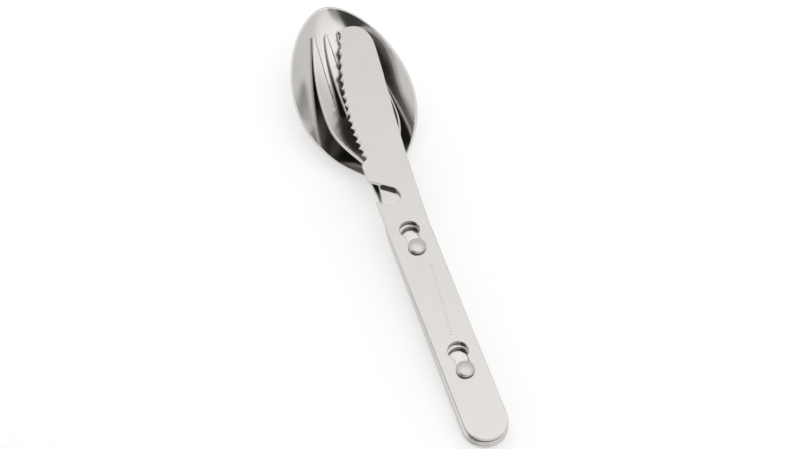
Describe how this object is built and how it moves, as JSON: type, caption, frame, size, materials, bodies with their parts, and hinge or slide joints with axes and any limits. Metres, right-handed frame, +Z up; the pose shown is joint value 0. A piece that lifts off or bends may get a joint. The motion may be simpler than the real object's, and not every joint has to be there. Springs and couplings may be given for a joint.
{
  "type": "picnic cutlery",
  "caption": "Clip-together picnic cutlery: a fork nests in the spoon's bowl under a serrated knife with an opener notch, all locked on studs by sliding keyhole slots.",
  "frame": {"origin": "centre of the footprint, on the table the set rests on", "axes": "+X from the handles' rounded ends toward the bowl and the blade's tip, +Y toward the knife's serrated edge, +Z up"},
  "size_m": [0.1956, 0.0464, 0.0209],
  "materials": {
    "polished_steel": "bright polished stainless steel",
    "satin_steel": "fine satin stainless steel",
    "stud_steel": "turned satin stainless steel"
  },
  "bodies": {
    "spoon": {"spoon": "polished_steel", "front_stud": "stud_steel", "rear_stud": "stud_steel"},
    "fork": {"fork": "polished_steel"},
    "knife": {"knife": "satin_steel"}
  },
  "joints": [
    {"name": "fork_slide", "type": "slide", "parent": "spoon", "child": "fork", "axis": [-0.9971, 0, -0.0757], "range_m": [0, 0.0067]},
    {"name": "knife_slide", "type": "slide", "parent": "spoon", "child": "knife", "axis": [-0.9971, 0, -0.0757], "range_m": [0, 0.008]}
  ]
}
